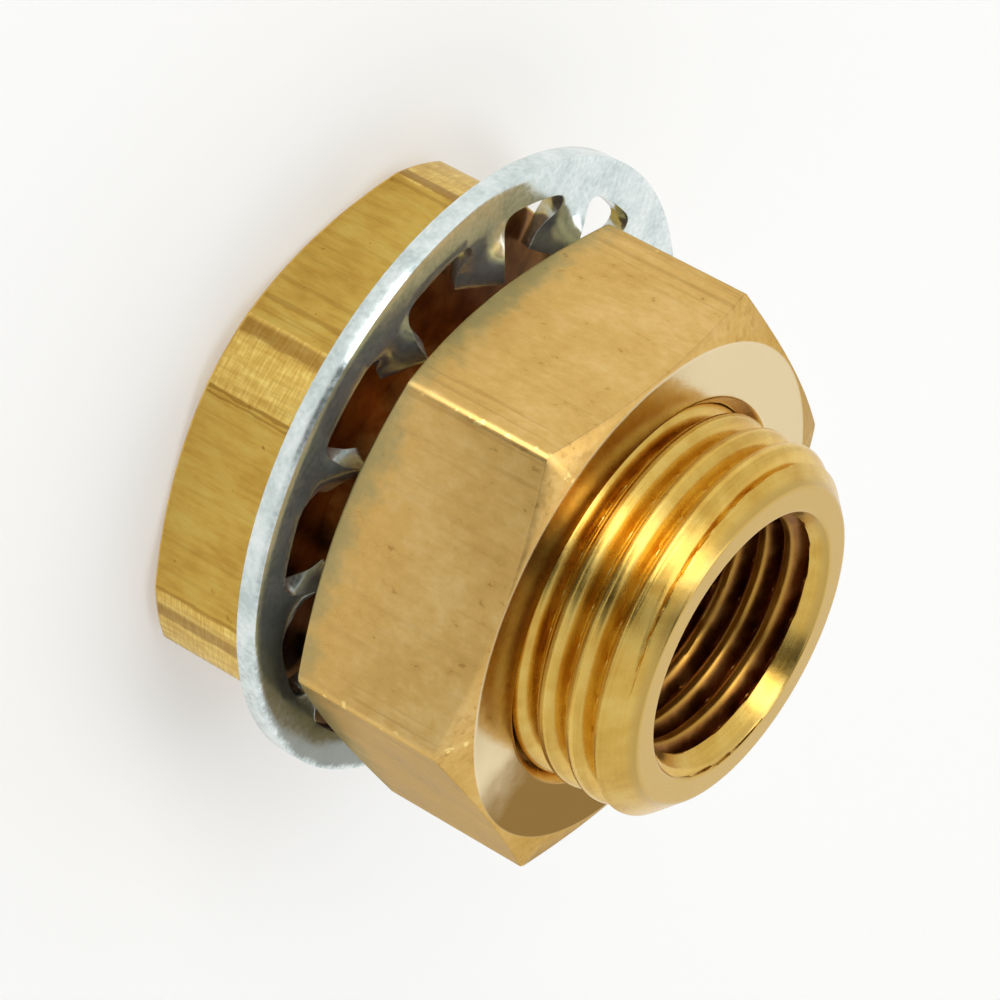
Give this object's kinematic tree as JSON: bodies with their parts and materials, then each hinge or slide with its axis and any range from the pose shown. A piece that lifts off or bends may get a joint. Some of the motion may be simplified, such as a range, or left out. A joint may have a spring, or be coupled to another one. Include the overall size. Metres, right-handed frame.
{
  "type": "bulkhead tank connector",
  "caption": "Brass bulkhead connector: hexagon head, threaded shank, female pipe thread at each end, with its toothed lock washer and hexagon nut.",
  "frame": {"origin": "centre of the back face of the hexagon head, on the axis of the fitting, on the plane that it stands on", "axes": "+Z along the fitting's axis from the head to the end of the shank; +X through a corner of the head's hexagon; the washer lies off the axis, as it was left"},
  "size_m": [0.0323, 0.0323, 0.0244],
  "materials": {
    "brass_body": "turned hexagon bar, drawn flats with fine lengthwise streaks",
    "zinc_steel": "bright blue-white zinc plate over stamped and hardened sheet steel",
    "brass_nut": "machined hexagon bar with small handling marks"
  },
  "bodies": {
    "fitting": {"fitting_body": "brass_body"},
    "washer": {"lock_washer": "zinc_steel"},
    "nut": {"hex_nut": "brass_nut"}
  },
  "joints": [
    {"name": "nut_turn", "type": "hinge", "parent": "fitting", "child": "washer", "pos_m": [0, 0, 0.0072], "axis": [0, 0, 1], "range_deg": [-150, 2700]},
    {"name": "nut_climb", "type": "slide", "parent": "washer", "child": "nut", "axis": [0, 0, 1], "range_m": [-0.0007, 0.012]}
  ],
  "couplings": [
    {"joint": "nut_climb", "follows": "nut_turn", "m_per_rad": 0.00025266}
  ]
}
